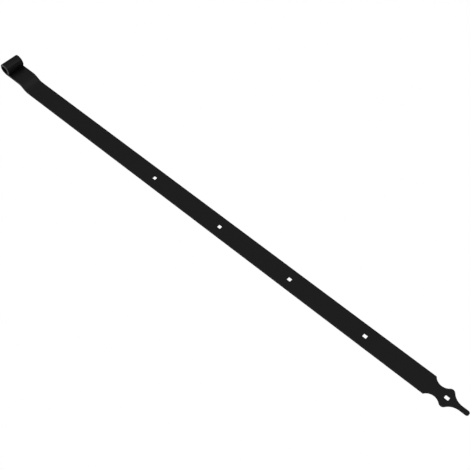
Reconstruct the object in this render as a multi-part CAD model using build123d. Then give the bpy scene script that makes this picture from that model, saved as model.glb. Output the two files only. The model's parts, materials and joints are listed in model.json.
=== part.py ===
from build123d import *
import os
from math import atan2, cos, degrees, hypot, radians, sin, sqrt, tan

# Strap leaf of a lift-off door hinge, made as the real one is: a single length of flat steel
# bar, one end rolled into an open eye, cranked by a joggle, punched with square bolt holes and
# cut to an ornamental tip. The pin that it turns on belongs to the pintle, a separate product.
# Millimetres. Origin at the middle of the eye's bore, +X towards the tip, +Y along the pin,
# +Z away from the door face that the strap is bolted to.

# Flat bar
bar_width = 35.0
bar_thickness = 4.0
edge_round = 0.4

# Rolled eye, turning on a pin of 14 mm
pin_diameter = 14.0
pin_clearance = 0.1
free_end_gap = 0.35

# Joggle, which lifts the eye off the door
joggle_start = 37.5
joggle_drop = 8.5
joggle_angle = 36.0
joggle_radius = 12.0
straight_start = 70.0

# Square holes for coach bolts
hole_side = 7.2
hole_corner_round = 0.5
hole_rim_round = 0.25
hole_count = 5
first_hole = 362.0
hole_pitch = 147.25

# Tip: distances along the bar from the last hole's centre, and half widths across it
neck_back = 16.0
neck_half_width = 9.7
neck_radius = 16.0
lobe_radius = 6.3
flank_radius = 23.0
stem_start = 24.0
stem_half_width = 3.7
tip_reach = 37.9

# Worked out from the above
half_width = bar_width / 2
half_thickness = bar_thickness / 2
bore_radius = pin_diameter / 2 + pin_clearance
roll_mid_radius = bore_radius + half_thickness
roll_outer_radius = bore_radius + bar_thickness
strap_mid_z = -roll_mid_radius - joggle_drop
strap_bottom_z = strap_mid_z - half_thickness
hole_places = [first_hole + number * hole_pitch for number in range(hole_count)]
last_hole = hole_places[-1]


def direction(start, end):
    """The angle in degrees, from 0 to 360, at which end lies as seen from start."""
    return degrees(atan2(end[1] - start[1], end[0] - start[0])) % 360


def arc_between(centre, radius, start_angle, end_angle):
    """An arc about a centre, from one angle to another, clockwise where the second is smaller."""
    return CenterArc(centre, radius, start_angle, end_angle - start_angle)


def roll_free_angle():
    """Where the roll stops: its outer corner is then a small gap above the strap's face."""
    corner_height = bore_radius - free_end_gap
    return -degrees(atan2(corner_height, sqrt(roll_outer_radius ** 2 - corner_height ** 2)))


def side_path():
    """The bar's middle line from the side: roll from its free end, joggle, start of the strap."""
    bend = radians(joggle_angle)
    bend_run = joggle_radius * sin(bend)
    bend_drop = joggle_radius * (1 - cos(bend))
    ramp_run = (joggle_drop - 2 * bend_drop) / tan(bend)
    ramp_top = (joggle_start + bend_run, -roll_mid_radius - bend_drop)
    ramp_foot = (ramp_top[0] + ramp_run, strap_mid_z + bend_drop)
    joggle_end = ramp_foot[0] + bend_run
    upper_centre = (joggle_start, -roll_mid_radius - joggle_radius)
    lower_centre = (joggle_end, strap_mid_z + joggle_radius)
    with BuildLine(Plane.XZ) as path:
        arc_between((0, 0), roll_mid_radius, roll_free_angle(), 270)
        Line((0, -roll_mid_radius), (joggle_start, -roll_mid_radius))
        arc_between(upper_centre, joggle_radius, 90, 90 - joggle_angle)
        Line(ramp_top, ramp_foot)
        arc_between(lower_centre, joggle_radius, 270 - joggle_angle, 270)
        Line((joggle_end, strap_mid_z), (straight_start, strap_mid_z))
    return path.wire()


def bent_end():
    """The rolled eye and the joggle: the bar's rounded section carried along its middle line."""
    path = side_path()
    with BuildSketch(Plane(path @ 0, x_dir=(0, 1, 0), z_dir=path % 0)) as section:
        RectangleRounded(bar_width, bar_thickness, edge_round)
    return sweep(section.sketch, path=path)


def circle_meeting(first, first_distance, second, second_distance):
    """The point at a given distance from each of two others, on the centre line's side of them."""
    apart = hypot(second[0] - first[0], second[1] - first[1])
    along = (first_distance ** 2 - second_distance ** 2 + apart ** 2) / (2 * apart)
    aside = sqrt(first_distance ** 2 - along ** 2)
    step_x = (second[0] - first[0]) / apart
    step_y = (second[1] - first[1]) / apart
    return (
        first[0] + along * step_x + aside * step_y,
        first[1] + along * step_y - aside * step_x,
    )


def plan_edge():
    """One long edge of the strap in plan: straight, hollow neck, round lobe, hollow flank, stem."""
    neck_centre = (last_hole - neck_back, neck_half_width + neck_radius)
    flank_centre = (last_hole + stem_start, stem_half_width + flank_radius)
    # The lobe touches the neck's and the flank's arcs from outside.
    lobe_centre = circle_meeting(
        neck_centre, neck_radius + lobe_radius, flank_centre, flank_radius + lobe_radius)
    # The shoulder is the sharp corner where the neck's arc cuts the straight edge.
    shoulder_x = neck_centre[0] - sqrt(neck_radius ** 2 - (neck_centre[1] - half_width) ** 2)
    shoulder = (shoulder_x, half_width)
    neck_end = direction(neck_centre, lobe_centre)
    flank_begin = direction(flank_centre, lobe_centre)
    tip_centre = (last_hole + tip_reach - stem_half_width, 0)
    with BuildLine() as edge:
        Line((straight_start, half_width), shoulder)
        arc_between(neck_centre, neck_radius, direction(neck_centre, shoulder), neck_end)
        arc_between(lobe_centre, lobe_radius, neck_end - 180, flank_begin - 180)
        arc_between(flank_centre, flank_radius, flank_begin, 270)
        Line((last_hole + stem_start, stem_half_width), (tip_centre[0], stem_half_width))
        arc_between(tip_centre, stem_half_width, 90, 0)
    return edge.line


def straight_strap():
    """The flat length from the joggle to the tip, with its long edges rounded."""
    with BuildPart() as strap:
        with BuildSketch(Plane.XY.offset(strap_bottom_z)):
            with BuildLine():
                add(plan_edge())
                mirror(about=Plane.XZ)
                Line((straight_start, -half_width), (straight_start, half_width))
            make_face()
        extrude(amount=bar_thickness)
        joined_end = strap.faces().sort_by(Axis.X)[0].edges()
        rims = strap.faces().filter_by(Axis.Z).edges()
        fillet([edge for edge in rims if edge not in joined_end], edge_round)
    return strap.part


def punched(leaf):
    """The leaf with its row of square holes, and the holes' rims a little rounded."""
    with BuildPart() as punches:
        with BuildSketch(Plane.XY.offset(strap_bottom_z)):
            with Locations([(x, 0) for x in hole_places]):
                RectangleRounded(hole_side, hole_side, hole_corner_round)
        extrude(amount=bar_thickness)
    leaf -= punches.part
    strap_faces = leaf.faces().filter_by(Axis.Z).sort_by(Axis.Z)
    rims = [wire.edges() for face in (strap_faces[0], top_face(strap_faces)) for wire in face.inner_wires()]
    return leaf.fillet(hole_rim_round, [edge for rim in rims for edge in rim])


def top_face(flat_faces):
    """The strap's upper face, the largest of the flat ones that look up."""
    return max((face for face in flat_faces if face.normal_at().Z > 0), key=lambda face: face.area)


os.makedirs("parts", exist_ok=True)
leaf = punched(bent_end() + straight_strap())
export_step(leaf, "parts/strap_leaf.step")
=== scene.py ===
import json
import math

import bmesh
import bpy
import numpy as np
from mathutils import Euler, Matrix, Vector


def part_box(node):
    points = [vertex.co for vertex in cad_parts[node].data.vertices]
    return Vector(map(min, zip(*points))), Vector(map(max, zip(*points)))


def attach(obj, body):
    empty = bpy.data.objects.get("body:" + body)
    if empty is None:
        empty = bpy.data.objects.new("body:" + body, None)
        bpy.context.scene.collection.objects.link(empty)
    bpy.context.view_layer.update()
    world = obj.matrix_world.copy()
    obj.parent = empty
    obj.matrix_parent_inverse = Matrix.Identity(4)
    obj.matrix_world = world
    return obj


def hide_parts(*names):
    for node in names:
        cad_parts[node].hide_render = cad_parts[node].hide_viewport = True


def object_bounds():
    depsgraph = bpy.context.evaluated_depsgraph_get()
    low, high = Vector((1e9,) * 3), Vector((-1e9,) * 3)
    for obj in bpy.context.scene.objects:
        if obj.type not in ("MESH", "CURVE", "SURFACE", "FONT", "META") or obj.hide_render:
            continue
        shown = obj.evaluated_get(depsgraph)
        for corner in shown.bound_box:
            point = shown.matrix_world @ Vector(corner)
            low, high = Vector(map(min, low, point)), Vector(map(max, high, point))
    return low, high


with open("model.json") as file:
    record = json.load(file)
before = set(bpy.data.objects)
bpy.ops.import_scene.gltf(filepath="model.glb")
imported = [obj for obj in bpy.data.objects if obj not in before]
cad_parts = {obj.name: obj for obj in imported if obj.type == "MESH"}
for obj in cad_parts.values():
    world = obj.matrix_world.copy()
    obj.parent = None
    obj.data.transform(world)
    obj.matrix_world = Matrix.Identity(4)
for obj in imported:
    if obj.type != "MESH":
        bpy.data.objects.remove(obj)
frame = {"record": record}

# The strap leaf of a lift-off door hinge: a flat steel bar with a rolled eye, a joggle, square bolt
# holes and an ornamental tip, coated black. Metres throughout, in the frame that the CAD sets:
# the origin is in the middle of the eye, +X runs to the tip and +Z away from the door.

cadLow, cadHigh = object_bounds()
millimetre = 0.001

# What the frame already says
mounts = {mount["name"]: mount for mount in frame["record"]["mounts"]}
holePlaces = [mounts[name]["pos_m"][0] for name in sorted(mounts) if name.startswith("bolt_hole")]
barLow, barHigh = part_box("strap_leaf")
strapTop = mounts["bolt_hole_1"]["pos_m"][2]
boreRadius = mounts["eye_bore"]["dims"]["r_mm"] * millimetre
halfWidth = barHigh.y
halfThickness = (strapTop - barLow.z) / 2


# Numbers for a surface

def smoothStep(x):
    # 0 below 0, 1 above 1, and 3x^2 - 2x^3 between
    x = np.clip(x, 0.0, 1.0)
    return x * x * (3.0 - 2.0 * x)


def spread(*stretches):
    # stations along stretches laid end to end, each (from, to, size of a cell), evenly spaced in each
    rows = []
    for start, end, cell in stretches:
        steps = max(2, round((end - start) / cell))
        rows.append(np.linspace(start, end, steps, endpoint=False))
    return np.concatenate(rows + [np.array([stretches[-1][1]])])


# The bar's middle line in side view. Each stretch turns at a steady rate. Where it has gone t and
# turned by 2h, the chord back to its start is t sin(h) / h long, at the heading it had half way.

bendSizes = {
    "freeEndGap": 0.35 * millimetre,      # between the roll's end and the strap below it
    "joggleStart": 37.5 * millimetre,
    "joggleDrop": 8.5 * millimetre,
    "joggleAngle": math.radians(36.0),
    "joggleRadius": 12.0 * millimetre,
    "flareZone": 6.0 * millimetre,        # how far in from each edge a tight bend pushes the steel
    "flareShare": 1.5 * millimetre,       # sideways push for a strain of 1
    "flareBlend": 2.0 * millimetre,
}


class Spine:
    def __init__(self, sizes):
        rollRadius = boreRadius + halfThickness
        outerRadius = boreRadius + 2 * halfThickness
        # The roll stops where its outer corner is one gap above the strap.
        freeAngle = -math.asin((boreRadius - sizes["freeEndGap"]) / outerRadius)
        rollTurn = 1.5 * math.pi - freeAngle
        crank = sizes["joggleAngle"]
        radius = sizes["joggleRadius"]
        rampDrop = sizes["joggleDrop"] - 2 * radius * (1 - math.cos(crank))
        # length and turn of the roll, the raised flat, the crest, the ramp and the foot
        stretches = [
            (rollRadius * rollTurn, rollTurn),
            (sizes["joggleStart"], 0.0),
            (radius * crank, -crank),
            (rampDrop / math.sin(crank), 0.0),
            (radius * crank, crank),
        ]
        lengths = np.array([length for length, turn in stretches])
        turns = np.array([turn for length, turn in stretches])
        self.starts = np.concatenate([[0.0], np.cumsum(lengths)])
        self.rates = np.concatenate([turns / lengths, [0.0]])
        self.headings = np.concatenate([[0.0], np.cumsum(turns)]) + freeAngle + math.pi / 2
        self.x = np.zeros(len(self.starts))
        self.z = np.zeros(len(self.starts))
        self.x[0] = rollRadius * math.cos(freeAngle)
        self.z[0] = rollRadius * math.sin(freeAngle)
        for number in range(len(stretches)):
            self.x[number + 1], self.z[number + 1] = self.at(self.starts[number + 1], number)[:2]
        # Along the straight strap, a station is its X plus this.
        self.shift = self.starts[-1] - self.x[-1]

    def at(self, station, stretch=None):
        # x, z and heading of the middle line at each station
        if stretch is None:
            stretch = np.clip(np.searchsorted(self.starts, station, side="right") - 1, 0, None)
        along = station - self.starts[stretch]
        halfTurn = self.rates[stretch] * along / 2
        chord = along * np.sinc(halfTurn / math.pi)
        heading = self.headings[stretch] + halfTurn
        x = self.x[stretch] + chord * np.cos(heading)
        z = self.z[stretch] + chord * np.sin(heading)
        return x, z, heading + halfTurn

    def bentRate(self, station, reach):
        # the turn per metre, averaged over a short reach so that it doesn't jump
        return (self.at(station + reach)[2] - self.at(station - reach)[2]) / (2 * reach)


spine = Spine(bendSizes)


def bend(flat):
    # flat holds (along, across, through) of the bar before it was bent; through is 0 at mid thickness
    # and positive on the face that ends up inside the roll. A tight bend squeezes that face, so its
    # edges bulge sideways, and stretches the other face, whose edges draw in.
    along, across, through = flat[:, 0], flat[:, 1], flat[:, 2]
    x, z, heading = spine.at(along)
    zone = bendSizes["flareZone"]
    strain = spine.bentRate(along, bendSizes["flareBlend"]) * through
    nearEdge = smoothStep((np.abs(across) - halfWidth + zone) / zone)
    across = across + np.sign(across) * bendSizes["flareShare"] * strain * nearEdge
    return np.stack([x - through * np.sin(heading), across, z + through * np.cos(heading)], axis=1)


# The bar's plan edge before bending. Stations run along the line that lies one edge rounding inside
# the edge. Each piece of that line is straight or an arc about (centreAlong, centreAcross), and the
# edge itself is the same arc one rounding further out.

planSizes = {
    "edgeRound": 0.4 * millimetre,
    "cornerRound": 0.8 * millimetre,      # the cut corners in plan
    "neckBack": 16.0 * millimetre,        # from the last hole to the narrowest part of the neck
    "neckHalf": 9.7 * millimetre,
    "neckRadius": 16.0 * millimetre,
    "lobeRadius": 6.3 * millimetre,
    "flankRadius": 23.0 * millimetre,
    "stemStart": 24.0 * millimetre,
    "stemHalf": 3.7 * millimetre,
}


def arcMeeting(first, firstReach, second, secondReach):
    # the point at given distances from two centres, on the side of the bar's centre line
    gapAlong, gapAcross = second[0] - first[0], second[1] - first[1]
    apart = math.hypot(gapAlong, gapAcross)
    along = (firstReach ** 2 - secondReach ** 2 + apart ** 2) / (2 * apart)
    aside = math.sqrt(firstReach ** 2 - along ** 2)
    return (
        first[0] + (along * gapAlong + aside * gapAcross) / apart,
        first[1] + (along * gapAcross - aside * gapAlong) / apart,
    )


class PlanEdge:
    def __init__(self, sizes):
        self.inset = sizes["edgeRound"]
        corner = sizes["cornerRound"]
        neckRadius, lobeRadius = sizes["neckRadius"], sizes["lobeRadius"]
        flankRadius, stemHalf = sizes["flankRadius"], sizes["stemHalf"]
        last = holePlaces[-1] + spine.shift
        neck = (last - sizes["neckBack"], sizes["neckHalf"] + neckRadius)
        flank = (last + sizes["stemStart"], stemHalf + flankRadius)
        lobe = arcMeeting(neck, neckRadius + lobeRadius, flank, flankRadius + lobeRadius)
        # The shoulder's small arc touches the straight edge from below and the neck's from outside.
        cornerDown = neck[1] - halfWidth + corner
        cornerBack = math.sqrt((neckRadius + corner) ** 2 - cornerDown ** 2)
        shoulder = (neck[0] - cornerBack, halfWidth - corner)
        self.tipCentre = barHigh.x + spine.shift - stemHalf
        self.end = self.tipCentre + stemHalf - self.inset
        # first station, centre, radius, and which side of the arc holds the steel (0 is a straight edge)
        pieces = [
            (self.inset, (corner, halfWidth - corner), corner, 1),
            (corner, (0.0, halfWidth), 0.0, 0),
            (shoulder[0], shoulder, corner, 1),
            (self.handOver(shoulder, corner, neck), neck, neckRadius, -1),
            (self.handOver(lobe, lobeRadius, neck), lobe, lobeRadius, 1),
            (self.handOver(lobe, lobeRadius, flank), flank, flankRadius, -1),
            (flank[0], (0.0, stemHalf), 0.0, 0),
            (self.tipCentre, (self.tipCentre, 0.0), stemHalf, 1),
        ]
        self.starts = np.array([piece[0] for piece in pieces])
        self.centres = np.array([piece[1] for piece in pieces])
        self.radii = np.array([piece[2] for piece in pieces])
        self.sides = np.array([piece[3] for piece in pieces])

    def handOver(self, solid, solidRadius, hollow):
        # where a solid arc meets a hollow one, on the inset line
        apart = math.hypot(hollow[0] - solid[0], hollow[1] - solid[1])
        return solid[0] + (solidRadius - self.inset) * (hollow[0] - solid[0]) / apart

    def at(self, station):
        # the inset line's half width at each station, and the edge's outward direction there
        hair = 1e-9                       # so that a station on a border belongs to the piece after it
        piece = np.clip(np.searchsorted(self.starts, station + hair, side="right") - 1, 0, None)
        centre, side = self.centres[piece], self.sides[piece]
        radius = np.where(side == 0, 1.0, self.radii[piece] - side * self.inset)
        lean = np.clip(np.where(side == 0, 0.0, side * (station - centre[:, 0]) / radius), -1.0, 1.0)
        rise = np.sqrt(1.0 - lean ** 2)
        straight = centre[:, 1] - self.inset
        curved = centre[:, 1] + side * radius * rise
        return np.where(side == 0, straight, curved), lean, rise


planEdge = PlanEdge(planSizes)


# The grid over the flat bar: close together where it bends or its edge turns, and with a square
# window left for each hole.

gridSizes = {
    "bendCell": 0.40 * millimetre,        # along the roll and the joggle's bends
    "cornerCell": 0.12 * millimetre,
    "curveCell": 0.8 * millimetre,        # along the tip's outline
    "shortCell": 2.0 * millimetre,
    "longCell": 8.0 * millimetre,
    "tipCells": 14,
    "window": 6.0 * millimetre,           # half the side of a hole's window
    "windowCells": 10,
    "windowShare": 0.62,                  # the most of the half width that the window's band takes
    "sideCells": 4,
    "support": 0.35 * millimetre,         # a narrow strip inside each rounded edge, to keep faces flat
    "supportShare": 0.1,                  # the most of the half width that it takes
    "roundCells": 5,
    "wallCells": 3,
}


def barStations():
    # stations from the roll's free end to the tip, each stretch with cells as small as its shape needs
    sizes = gridSizes
    bends, edges = spine.starts, planEdge.starts
    window = sizes["window"]
    windowCell = 2 * window / sizes["windowCells"]
    centres = [place + spine.shift for place in holePlaces]
    stretches = [
        (planEdge.inset, edges[1], sizes["cornerCell"]),
        (edges[1], bends[1], sizes["bendCell"]),
        (bends[1], bends[2], sizes["shortCell"]),
        (bends[2], bends[3], sizes["bendCell"]),
        (bends[3], bends[4], sizes["shortCell"]),
        (bends[4], bends[5], sizes["bendCell"]),
    ]
    begin = bends[5]
    for centre in centres[:-1]:
        stretches.append((begin, centre - window, sizes["longCell"]))
        stretches.append((centre - window, centre + window, windowCell))
        begin = centre + window
    stretches += [
        (begin, edges[2], sizes["longCell"]),
        (edges[2], edges[3], sizes["cornerCell"]),
        (edges[3], centres[-1] - window, sizes["curveCell"]),
        (centres[-1] - window, centres[-1] + window, windowCell),
        (centres[-1] + window, edges[6], sizes["curveCell"]),
        (edges[6], edges[7], sizes["shortCell"]),
    ]
    # Round the tip, stations step evenly in angle.
    quarter = np.linspace(0.0, math.pi / 2, sizes["tipCells"] + 1)[1:]
    tip = planEdge.tipCentre + (planEdge.end - planEdge.tipCentre) * np.sin(quarter)
    return np.concatenate([spread(*stretches), tip])


def acrossLines(half):
    # columns across a face: a fixed band in the middle for the holes, wider cells outside it and a
    # narrow strip at each edge, all shrinking together where the bar is narrow
    sizes = gridSizes
    band = np.minimum(sizes["window"], sizes["windowShare"] * half)[:, None]
    outer = (half - np.minimum(sizes["support"], sizes["supportShare"] * half))[:, None]
    middle = band * np.linspace(-1, 1, sizes["windowCells"] + 1)[None, :]
    step = np.linspace(0, 1, sizes["sideCells"] + 1)[None, 1:]
    right = np.concatenate([band + (outer - band) * step, half[:, None]], axis=1)
    return np.concatenate([-right[:, ::-1], middle, right], axis=1)


weldSizes = {
    "mergeGap": 0.001 * millimetre,       # points closer than this are one point
    "shortEdge": 0.0001 * millimetre,     # edges shorter than this go
}


class Shell:
    # gathers points and four-sided faces from several grids, to be joined at their shared borders
    def __init__(self):
        self.points, self.faces, self.wear, self.count = [], [], [], 0

    def grid(self, points, wear, flip=False, skip=None):
        # points is an array of rows x columns x 3; each cell is a face unless skip says otherwise
        rows, columns = points.shape[:2]
        number = np.arange(rows * columns).reshape(rows, columns) + self.count
        corners = [number[:-1, :-1], number[1:, :-1], number[1:, 1:], number[:-1, 1:]]
        if flip:
            corners = corners[::-1]
        faces = np.stack(corners, axis=-1)
        self.faces.append(faces.reshape(-1, 4) if skip is None else faces[~skip])
        self.points.append(points.reshape(-1, 3))
        self.wear.append(np.broadcast_to(wear, (rows, columns)).reshape(-1))
        self.count += rows * columns

    def mesh(self, name, place):
        points, faces = place(np.concatenate(self.points)), np.concatenate(self.faces)
        made = bpy.data.meshes.new(name)
        made.from_pydata(points.tolist(), [], faces.tolist())
        layer = made.attributes.new("edgeWear", "FLOAT", "POINT")
        layer.data.foreach_set("value", np.concatenate(self.wear).astype(np.float32))
        work = bmesh.new()
        work.from_mesh(made)
        bmesh.ops.remove_doubles(work, verts=work.verts, dist=weldSizes["mergeGap"])
        bmesh.ops.dissolve_degenerate(work, edges=work.edges, dist=weldSizes["shortEdge"])
        work.to_mesh(made)
        openEdges = sum(not edge.is_manifold for edge in work.edges)
        centimetre = 10 * millimetre
        volume = work.calc_volume(signed=True) / centimetre ** 3
        print(name, len(work.verts), "points", len(work.faces), "faces", openEdges, "open edges",
              round(volume, 2), "cm3")
        work.free()
        made.polygons.foreach_set("use_smooth", np.ones(len(made.polygons), bool))
        return made


def edgeProfile():
    # round the edge from the upper face to the lower: how far out from the inset line, and at which
    # level; both follow quarter circles, with the flat of the edge between them
    radius = planSizes["edgeRound"]
    turn = np.linspace(0, math.pi / 2, gridSizes["roundCells"] + 1)
    upperOut, upperLevel = radius * np.sin(turn), halfThickness - radius * (1 - np.cos(turn))
    wall = np.linspace(upperLevel[-1], -upperLevel[-1], gridSizes["wallCells"] + 1)[1:-1]
    out = np.concatenate([upperOut, np.full(len(wall), radius), upperOut[::-1]])
    level = np.concatenate([upperLevel, wall, -upperLevel[::-1]])
    worn = np.sin(2 * turn)
    wear = np.concatenate([worn, np.zeros(len(wall)), worn[::-1]])
    return out, level, wear


# Each square hole: a loop round the square, carried down through the strap. Its profile runs in from
# the window's border, over the rim, down the wall and out again below. A punch draws the upper rim in
# and tears the lower part of the wall a little wide.

holeSizes = {
    "side": 7.2 * millimetre,
    "corner": 0.5 * millimetre,
    "upperRim": 0.30 * millimetre,        # rounding where the punch went in
    "lowerRim": 0.18 * millimetre,        # and where it came out
    "tear": 0.06 * millimetre,            # how far the torn part of the wall stands back
    "tearLevels": (0.1, -0.3),            # where the tear starts and where it is whole, in half thicknesses
    "rimCells": 4,
    "flatSteps": (0.0, 0.45, 0.85),       # rings between the window's border and a rim
}


def squareLoop(half, corner, cells):
    # points round a rounded square, closer together towards the corners: on each side the distance
    # from its middle goes as the sine of the step, and past the flat it runs half way round the corner
    flat = half - corner
    reach = flat + corner * math.pi / 4
    length = reach * np.sin(np.linspace(-1, 1, cells + 1)[:-1] * math.pi / 2)
    turn = np.sign(length) * np.maximum(np.abs(length) - flat, 0.0) / corner
    side = np.clip(length, -flat, flat) + corner * np.sin(turn)
    out = flat + corner * np.cos(turn)
    facing, aside = np.cos(turn), np.sin(turn)
    points = [(out, side), (-side, out), (-out, -side), (side, -out)]
    outward = [(facing, aside), (-aside, facing), (-facing, -aside), (aside, -facing)]
    joined = np.concatenate([np.stack(pair, axis=1) for pair in points])
    directions = np.concatenate([np.stack(pair, axis=1) for pair in outward])
    return joined, directions


def windowBorder(stations, lines, place):
    # the rows and columns of one hole's window, and the grid's points round it: from the corner where
    # along is highest and across lowest, towards +across, each side without its last point
    centre = place + spine.shift
    first, last = [
        int(np.argmin(np.abs(stations - centre - side * gridSizes["window"]))) for side in (-1, 1)]
    left = gridSizes["sideCells"] + 1
    right = left + gridSizes["windowCells"]
    rows = np.arange(first, last + 1)
    columns = np.arange(left, right + 1)
    loop = [(last, column) for column in columns[:-1]]
    loop += [(row, right) for row in rows[:0:-1]]
    loop += [(first, column) for column in columns[:0:-1]]
    loop += [(row, left) for row in rows[:-1]]
    points = np.array([(stations[row], lines[row, column]) for row, column in loop])
    return points, slice(first, last), slice(left, right)


def addHole(shell, border):
    sizes = holeSizes
    centre = border.mean(axis=0)
    loop, outward = squareLoop(sizes["side"] / 2, sizes["corner"], len(border) // 4)
    turn = np.linspace(0, math.pi / 2, sizes["rimCells"] + 1)
    upper, lower, tear = sizes["upperRim"], sizes["lowerRim"], sizes["tear"]
    # how far out from the hole's wall, at which level, and how worn
    out = np.concatenate([upper * (1 - np.sin(turn)), [0.0, tear], tear + lower * (1 - np.cos(turn))])
    level = np.concatenate([
        halfThickness - upper * (1 - np.cos(turn)),
        halfThickness * np.array(sizes["tearLevels"]),
        -halfThickness + lower * (1 - np.sin(turn)),
    ])
    worn = np.concatenate([np.sin(2 * turn), [0.0, 0.0], np.sin(2 * turn)])
    rims = centre + loop[None] + out[:, None, None] * outward[None]
    # the flat rings between the border and each rim
    step = np.array(sizes["flatSteps"])[:, None, None]
    above = border + (rims[0] - border) * step
    below = border + (rims[-1] - border) * step[::-1]
    plan = np.concatenate([above, rims, below])
    flats = np.full(len(step), halfThickness)
    heights = np.concatenate([flats, level, -flats])
    wear = np.concatenate([np.zeros(len(step)), worn, np.zeros(len(step))])
    heights = np.broadcast_to(heights[:, None, None], plan.shape[:2] + (1,))
    ring = np.concatenate([plan, heights], axis=2)
    shell.grid(np.concatenate([ring, ring[:, :1]], axis=1), wear[:, None], flip=True)


def strapMesh():
    # Both faces are one grid of stations x columns, with a window left out for each hole. The holes,
    # the long edges and the cut end share its border points, and bend() then shapes the whole.
    stations = barStations()
    half, lean, rise = planEdge.at(stations)
    lines = acrossLines(half)
    along = np.broadcast_to(stations[:, None], lines.shape)
    skip = np.zeros((len(stations) - 1, lines.shape[1] - 1), bool)
    shell = Shell()
    for place in holePlaces:
        border, rows, columns = windowBorder(stations, lines, place)
        skip[rows, columns] = True
        addHole(shell, border)
    for level, flip in ((halfThickness, False), (-halfThickness, True)):
        face = np.stack([along, lines, np.full(lines.shape, level)], axis=2)
        shell.grid(face, 0.0, flip=flip, skip=skip)
    # the long edges, from the upper face round to the lower
    out, level, wear = edgeProfile()
    for side in (1, -1):
        edge = np.stack([
            stations[:, None] + out[None] * lean[:, None],
            side * (half[:, None] + out[None] * rise[:, None]),
            np.broadcast_to(level[None], (len(stations), len(out))),
        ], axis=2)
        shell.grid(edge, wear[None], flip=side < 0)
    # the roll's free end, cut square across
    across = np.broadcast_to(lines[0][None], (len(out), lines.shape[1]))
    back = np.broadcast_to((stations[0] - out)[:, None], across.shape)
    endCap = np.stack([back, across, np.broadcast_to(level[:, None], across.shape)], axis=2)
    shell.grid(endCap, wear[:, None], flip=True)
    return shell.mesh("strap_leaf_coated", bend)


# Shader sums, written as Python expressions. Each operator adds one Math node.

class Signal:
    def __init__(self, graph, socket):
        self.graph, self.socket = graph, socket

    def __add__(self, other):
        return self.graph.maths("ADD", self, other)

    def __sub__(self, other):
        return self.graph.maths("SUBTRACT", self, other)

    def __rsub__(self, other):
        return self.graph.maths("SUBTRACT", other, self)

    def __mul__(self, other):
        return self.graph.maths("MULTIPLY", self, other)

    __radd__ = __add__
    __rmul__ = __mul__


class Graph:
    # the nodes of one material, or of the world
    def __init__(self, owner):
        owner.use_nodes = True
        self.tree = owner.node_tree
        self.tree.nodes.clear()

    def node(self, kind, settings=None, sockets=None, output=0):
        made = self.tree.nodes.new(kind)
        for name, value in (settings or {}).items():
            if name == "stops":
                ramp = made.color_ramp
                for number, (place, shade) in enumerate(value):
                    stop = ramp.elements[number] if number < 2 else ramp.elements.new(place)
                    stop.position, stop.color = place, (shade, shade, shade, 1.0)
            else:
                setattr(made, name, value)
        for name, value in (sockets or {}).items():
            if isinstance(value, Signal):
                self.tree.links.new(value.socket, made.inputs[name])
            else:
                made.inputs[name].default_value = value
        return Signal(self, made.outputs[output]) if made.outputs else made

    def maths(self, operation, first, second):
        return self.node("ShaderNodeMath", {"operation": operation}, {0: first, 1: second})

    def split(self, vector):
        # x, y and z of a vector
        first = self.node("ShaderNodeSeparateXYZ", sockets={0: vector})
        return [Signal(self, socket) for socket in first.socket.node.outputs]

    def noise(self, place, size, detail=2.0, roughness=0.5):
        # noise whose lumps are about size metres across
        return self.node("ShaderNodeTexNoise", sockets={
            "Vector": place, "Scale": 1.0 / size, "Detail": detail, "Roughness": roughness})

    def ramp(self, factor, *stops):
        return self.node("ShaderNodeValToRGB", {"stops": stops}, {"Fac": factor})

    def step(self, value, low, high):
        # 0 below low, 1 above high, smooth between
        return self.node("ShaderNodeMapRange", {"interpolation_type": "SMOOTHSTEP"}, {
            "Value": value, "From Min": low, "From Max": high})

    def mix(self, factor, first, second):
        return self.node("ShaderNodeMix", {"data_type": "RGBA"}, {"Factor": factor, 6: first, 7: second}, 2)

    def seenOrFelt(self, seen, felt):
        # one surface for the camera to see, and another to light and be reflected
        look = self.node("ShaderNodeLightPath")
        return self.node("ShaderNodeMixShader", sockets={0: look, 1: felt, 2: seen})


coatLooks = {
    "black": (0.0065, 0.0065, 0.0065, 1.0),
    "dusty": (0.0185, 0.0183, 0.0178, 1.0),
    "thinEdge": (0.036, 0.036, 0.0355, 1.0),  # where the coat is thin over an edge
    "cloudShare": 0.30,                   # how much of the dusty tone the clouds and flecks bring
    "fleckShare": 0.45,
    "edgeShare": 0.35,
    "roughness": 0.30,
    "cloudRoughness": 0.14,
    "fleckRoughness": 0.16,
    "edgeRoughness": 0.05,
    "cloud": 45 * millimetre,             # slow changes along the bar
    "chip": 4 * millimetre,               # patches where the edges show through more or less
    "chipStops": ((0.35, 0.25), (0.7, 1.0)),
    "fleckStops": ((0.38, 0.0), (0.66, 1.0)),
    "cloudMiddle": 0.5,                   # where the clouds and flecks leave the roughness as it is
    "fleckMiddle": 0.4,
    "peel": 1.3 * millimetre,             # the coat's orange peel
    "peelHeight": 0.17 * millimetre,
    "grain": 0.28 * millimetre,           # its fine texture
    "grainHeight": 0.045 * millimetre,
}


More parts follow.
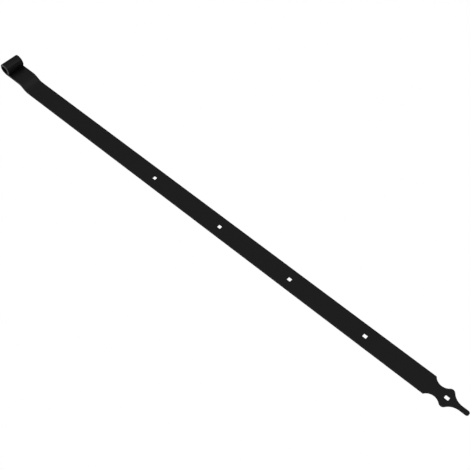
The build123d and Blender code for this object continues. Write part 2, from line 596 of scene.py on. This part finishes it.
def blackPowderCoat():
    # black, dusted by slow clouds and fine flecks, greyer where it is thin over an edge, with the
    # peel and the grain in its bump
    looks = coatLooks
    coat = bpy.data.materials.new("blackPowderCoat")
    graph = Graph(coat)
    place = graph.node("ShaderNodeTexCoord", output=3)
    cloud = graph.noise(place, looks["cloud"], detail=3.0)
    peel = graph.noise(place, looks["peel"], detail=1.5, roughness=0.45)
    grain = graph.noise(place, looks["grain"], detail=2.0, roughness=0.6)
    fleck = graph.ramp(grain, *looks["fleckStops"])
    wear = graph.node("ShaderNodeAttribute", {"attribute_name": "edgeWear"}, output=2)
    thin = wear * graph.ramp(graph.noise(place, looks["chip"], detail=3.0), *looks["chipStops"])
    dust = cloud * looks["cloudShare"] + fleck * looks["fleckShare"]
    colour = graph.mix(dust, looks["black"], looks["dusty"])
    colour = graph.mix(thin * looks["edgeShare"], colour, looks["thinEdge"])
    roughness = (
        looks["roughness"] + (cloud - looks["cloudMiddle"]) * looks["cloudRoughness"]
        + (fleck - looks["fleckMiddle"]) * looks["fleckRoughness"] - thin * looks["edgeRoughness"])
    height = peel * looks["peelHeight"] + grain * looks["grainHeight"]
    bump = graph.node("ShaderNodeBump", sockets={"Strength": 1.0, "Distance": 1.0, "Height": height})
    surface = graph.node("ShaderNodeBsdfPrincipled", sockets={
        "Base Color": colour, "Roughness": roughness, "Normal": bump, "IOR": 1.5})
    graph.node("ShaderNodeOutputMaterial", sockets={"Surface": surface})
    return coat


# Strap

strap = bpy.data.objects.new("strap_leaf_coated", strapMesh())
bpy.context.scene.collection.objects.link(strap)
strap.data.materials.append(blackPowderCoat())
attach(strap, "root")
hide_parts("strap_leaf")
print("strap made")


# Studio: a white table in a room with a soft ceiling, a wide soft light in front and a weak one behind.
# Each glow is a smooth step in the direction looked at, between the two sines given.

studio = {
    "tableHalf": 30.0,
    "tableBelow": 0.05 * millimetre,      # just clear of the strap's underside
    "tableShade": 0.12,                   # painted shade: how bright the table looks to the steel, under it and behind it
    "tableFront": 0.80,                   # and in front of it, clear of the painted shade
    "shadeWidth": 16 * millimetre,        # over which one passes to the other, the painted shade fading out
    "roomGlow": 0.02,
    "ceilingGlow": 0.245,
    "ceilingRise": (0.35, 0.80),
    "tipSideExtra": 1.0,                  # the ceiling's extra towards the tip's side
    "tipSideTurn": (0.15, 0.6),
    "frontGlow": 0.55,
    "frontTurn": (0.40, 0.9),
    "frontRise": (0.0, 0.25),             # it starts at the horizon
    "rearGlow": 0.25,
    "rearTurn": (0.1, 0.7),
    "rearFade": (0.10, 0.40),             # it lies low, and is gone above this
}
white = (1.0, 1.0, 1.0, 1.0)


# The table: plain white to the camera; to the steel, white with a painted shade under and behind the strap.
def tableTop():
    half = studio["tableHalf"]
    corners = np.array([(-1, -1), (1, -1), (1, 1), (-1, 1)]) * half
    centre = (cadLow + cadHigh) / 2
    level = cadLow.z - studio["tableBelow"]
    mesh = bpy.data.meshes.new("table")
    mesh.from_pydata([(centre.x + x, centre.y + y, level) for x, y in corners], [], [(0, 1, 2, 3)])
    table = bpy.data.objects.new("table", mesh)
    bpy.context.scene.collection.objects.link(table)
    paper = bpy.data.materials.new("whitePaper")
    graph = Graph(paper)
    across = graph.split(graph.node("ShaderNodeTexCoord", output=3))[1]
    # painted shadow: to the steel the table glows dim under the strap and behind it, and bright only in
    # front of it past the strap's edge
    clear = graph.step(-1.0 * across, halfWidth, halfWidth + studio["shadeWidth"])
    glow = studio["tableShade"] + clear * (studio["tableFront"] - studio["tableShade"])
    seen = graph.node("ShaderNodeEmission", sockets={"Color": white})
    felt = graph.node("ShaderNodeEmission", sockets={"Color": glow})
    graph.node("ShaderNodeOutputMaterial", sockets={"Surface": graph.seenOrFelt(seen, felt)})
    table.data.materials.append(paper)


def room():
    world = bpy.data.worlds.new("room")
    bpy.context.scene.world = world
    graph = Graph(world)
    x, y, z = graph.split(graph.node("ShaderNodeTexCoord"))
    ceiling = graph.step(z, *studio["ceilingRise"]) * studio["ceilingGlow"]
    ceiling = ceiling * (1.0 + graph.step(x, *studio["tipSideTurn"]) * studio["tipSideExtra"])
    front = graph.step(-1.0 * y, *studio["frontTurn"]) * graph.step(z, *studio["frontRise"])
    rear = graph.step(y, *studio["rearTurn"]) * (1.0 - graph.step(z, *studio["rearFade"]))
    glow = studio["roomGlow"] + ceiling + front * studio["frontGlow"] + rear * studio["rearGlow"]
    seen = graph.node("ShaderNodeBackground", sockets={"Color": white})
    felt = graph.node("ShaderNodeBackground", sockets={"Color": glow})
    graph.node("ShaderNodeOutputWorld", sockets={"Surface": graph.seenOrFelt(seen, felt)})


tableTop()
room()
print("studio made")


# Camera

cameraSizes = {
    "place": (1.0262, -0.6041, 1.1180),
    "turn": (34.453, -1.959, 41.552),     # degrees
    "lens": 65.36,
    "sensor": 36.0,
    "clip": (0.01, 100.0),
}

view = bpy.data.cameras.new("camera")
view.lens = cameraSizes["lens"]
view.sensor_width = cameraSizes["sensor"]
view.clip_start, view.clip_end = cameraSizes["clip"]
camera = bpy.data.objects.new("camera", view)
bpy.context.scene.collection.objects.link(camera)
camera.location = cameraSizes["place"]
camera.rotation_euler = Euler([math.radians(angle) for angle in cameraSizes["turn"]])
bpy.context.scene.camera = camera
bpy.context.scene.view_settings.view_transform = "Standard"
print("camera made")
